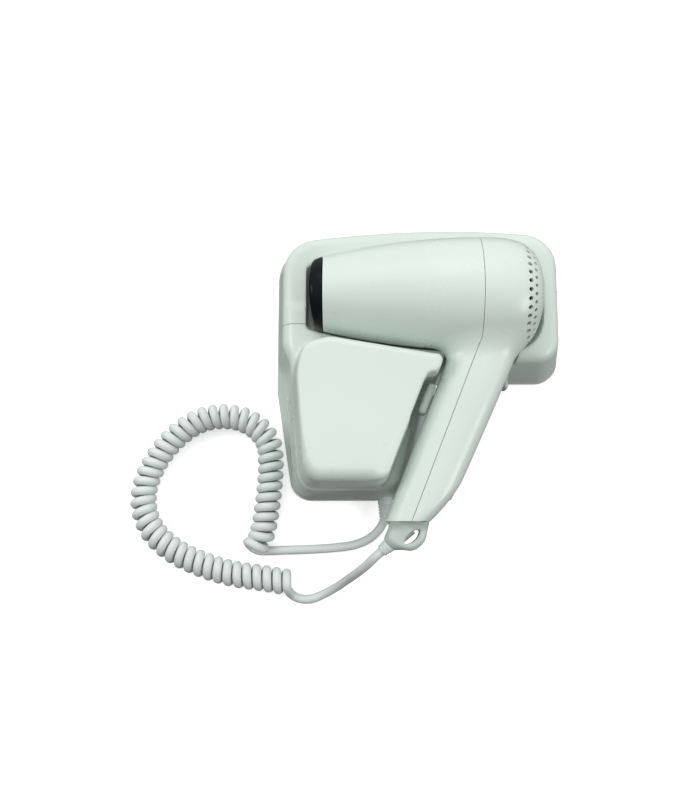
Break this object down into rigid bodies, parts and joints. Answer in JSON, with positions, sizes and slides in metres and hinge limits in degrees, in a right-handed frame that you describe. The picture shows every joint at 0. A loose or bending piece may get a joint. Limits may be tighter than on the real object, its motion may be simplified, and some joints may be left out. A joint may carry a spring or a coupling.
{
  "type": "wall-mounted hair dryer",
  "caption": "Hair dryer with a slotted rear dome and hanging loop, cradled in a wall unit and joined to it by a curly cord.",
  "frame": {"origin": "centre of the four wall-screw holes, on the back face of the wall unit", "axes": "+Z out of the wall towards the user, +Y up the wall, +X towards the rear dome of the resting handset"},
  "size_m": [0.2959, 0.2556, 0.089],
  "materials": {
    "white_shell": "semi-gloss moulded",
    "white_part": "semi-gloss moulded",
    "cord_jacket": "satin flexible jacket",
    "black_nozzle": "polished",
    "black_part": "matte moulded",
    "natural_nylon": "matte moulded",
    "mica": "flaky sheet",
    "resistance_wire": "drawn wire",
    "steel": "zinc plated",
    "brass": "turned",
    "circuit_green": "solder mask",
    "wire_sheath": "satin"
  },
  "bodies": {
    "wall_unit": {"back_plate": "white_part", "upper_cover": "white_shell", "lower_cover": "white_shell", "cradle_peg": "white_part", "cover_screws": "steel", "supply_grommet": "black_part", "terminal_block": "natural_nylon", "terminal_screws": "brass", "safety_switch": "black_part", "plunger_spring": "steel", "mains_switch": "black_part", "button_collar": "white_part", "base_cord_gland": "cord_jacket", "cord_clamp": "natural_nylon", "clamp_screws": "steel", "base_wiring": "wire_sheath", "cord_base_lead": "cord_jacket", "cord_coil": "cord_jacket", "cord_handset_lead": "cord_jacket"},
    "safety_plunger": {"safety_plunger": "natural_nylon"},
    "base_button": {"base_button": "white_part"},
    "handset": {"front_shell": "white_shell", "rear_shell": "white_shell", "nozzle_ring": "black_nozzle", "outlet_grille": "black_part", "mica_sleeve": "mica", "heater_cards": "mica", "heater_coil": "resistance_wire", "thermostat": "steel", "thermal_fuse": "brass", "fan_duct": "natural_nylon", "motor": "steel", "inlet_filter": "black_part", "switch_body": "black_part", "switch_plate": "black_part", "circuit_board": "circuit_green", "diodes": "black_part", "handle_cap": "white_part", "strain_relief": "cord_jacket", "shell_screws": "steel", "cord_clip": "natural_nylon", "handset_wiring": "wire_sheath"},
    "fan": {"motor_shaft": "steel", "impeller": "natural_nylon"},
    "speed_knob": {"switch_knob": "white_part"}
  },
  "joints": [
    {"name": "handset_lift", "type": "slide", "parent": "wall_unit", "child": "handset", "axis": [0, 0, 1], "range_m": [0, 0.09]},
    {"name": "plunger_travel", "type": "slide", "parent": "wall_unit", "child": "safety_plunger", "axis": [0, 0, 1], "range_m": [0, 0.003], "deforming": ["plunger_spring"]},
    {"name": "base_button_press", "type": "slide", "parent": "wall_unit", "child": "base_button", "axis": [0, 0.9923, -0.124], "range_m": [0, 0.002], "stiffness_N_per_m": 400},
    {"name": "fan_spin", "type": "hinge", "parent": "handset", "child": "fan", "pos_m": [0.06, 0.0455, 0.052], "axis": [1, 0, 0], "continuous": true},
    {"name": "speed_switch", "type": "slide", "parent": "handset", "child": "speed_knob", "axis": [-0.3665, -0.9304, 0], "range_m": [0, 0.006]}
  ],
  "couplings": [
    {"joint": "plunger_travel", "follows": "handset_lift", "ratio": 0.033333}
  ]
}
